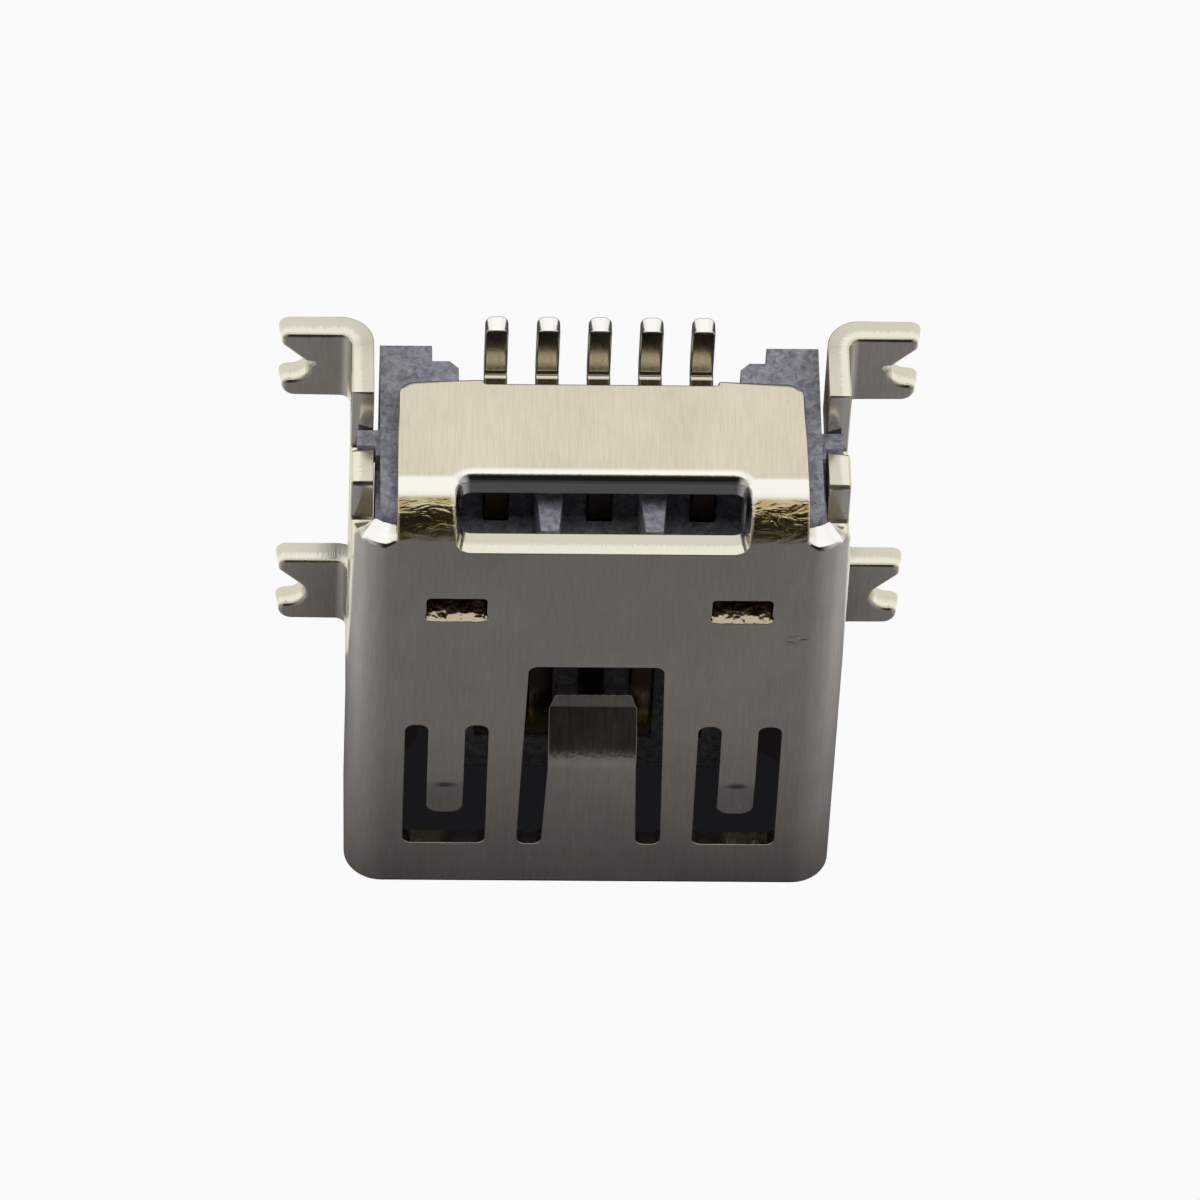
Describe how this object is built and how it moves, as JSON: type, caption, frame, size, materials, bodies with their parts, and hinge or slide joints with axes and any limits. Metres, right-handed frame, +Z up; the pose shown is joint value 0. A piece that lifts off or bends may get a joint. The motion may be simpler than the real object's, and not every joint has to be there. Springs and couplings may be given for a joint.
{
  "type": "mini-b board socket",
  "caption": "Low surface-mount receptacle: folded metal shell with latch finger, rear flap and notched solder feet round a moulded tongue with stamped contacts",
  "frame": {"origin": "On the board's top face, midway between the two locating pegs", "axes": "+Z up off the board, mouth towards -Y, contact tails towards +Y, +X across the socket over the solder feet"},
  "size_m": [0.0098, 0.0091, 0.0047],
  "materials": {
    "plated_sheet": "nickel plated, fine rolled grain",
    "moulding": "moulded, fine grain",
    "plated_contact": "gold flashed, bright tails"
  },
  "bodies": {
    "root": {"shell": "plated_sheet", "housing": "moulding", "contact_1": "plated_contact", "contact_2": "plated_contact", "contact_3": "plated_contact", "contact_4": "plated_contact", "contact_5": "plated_contact"}
  },
  "joints": []
}
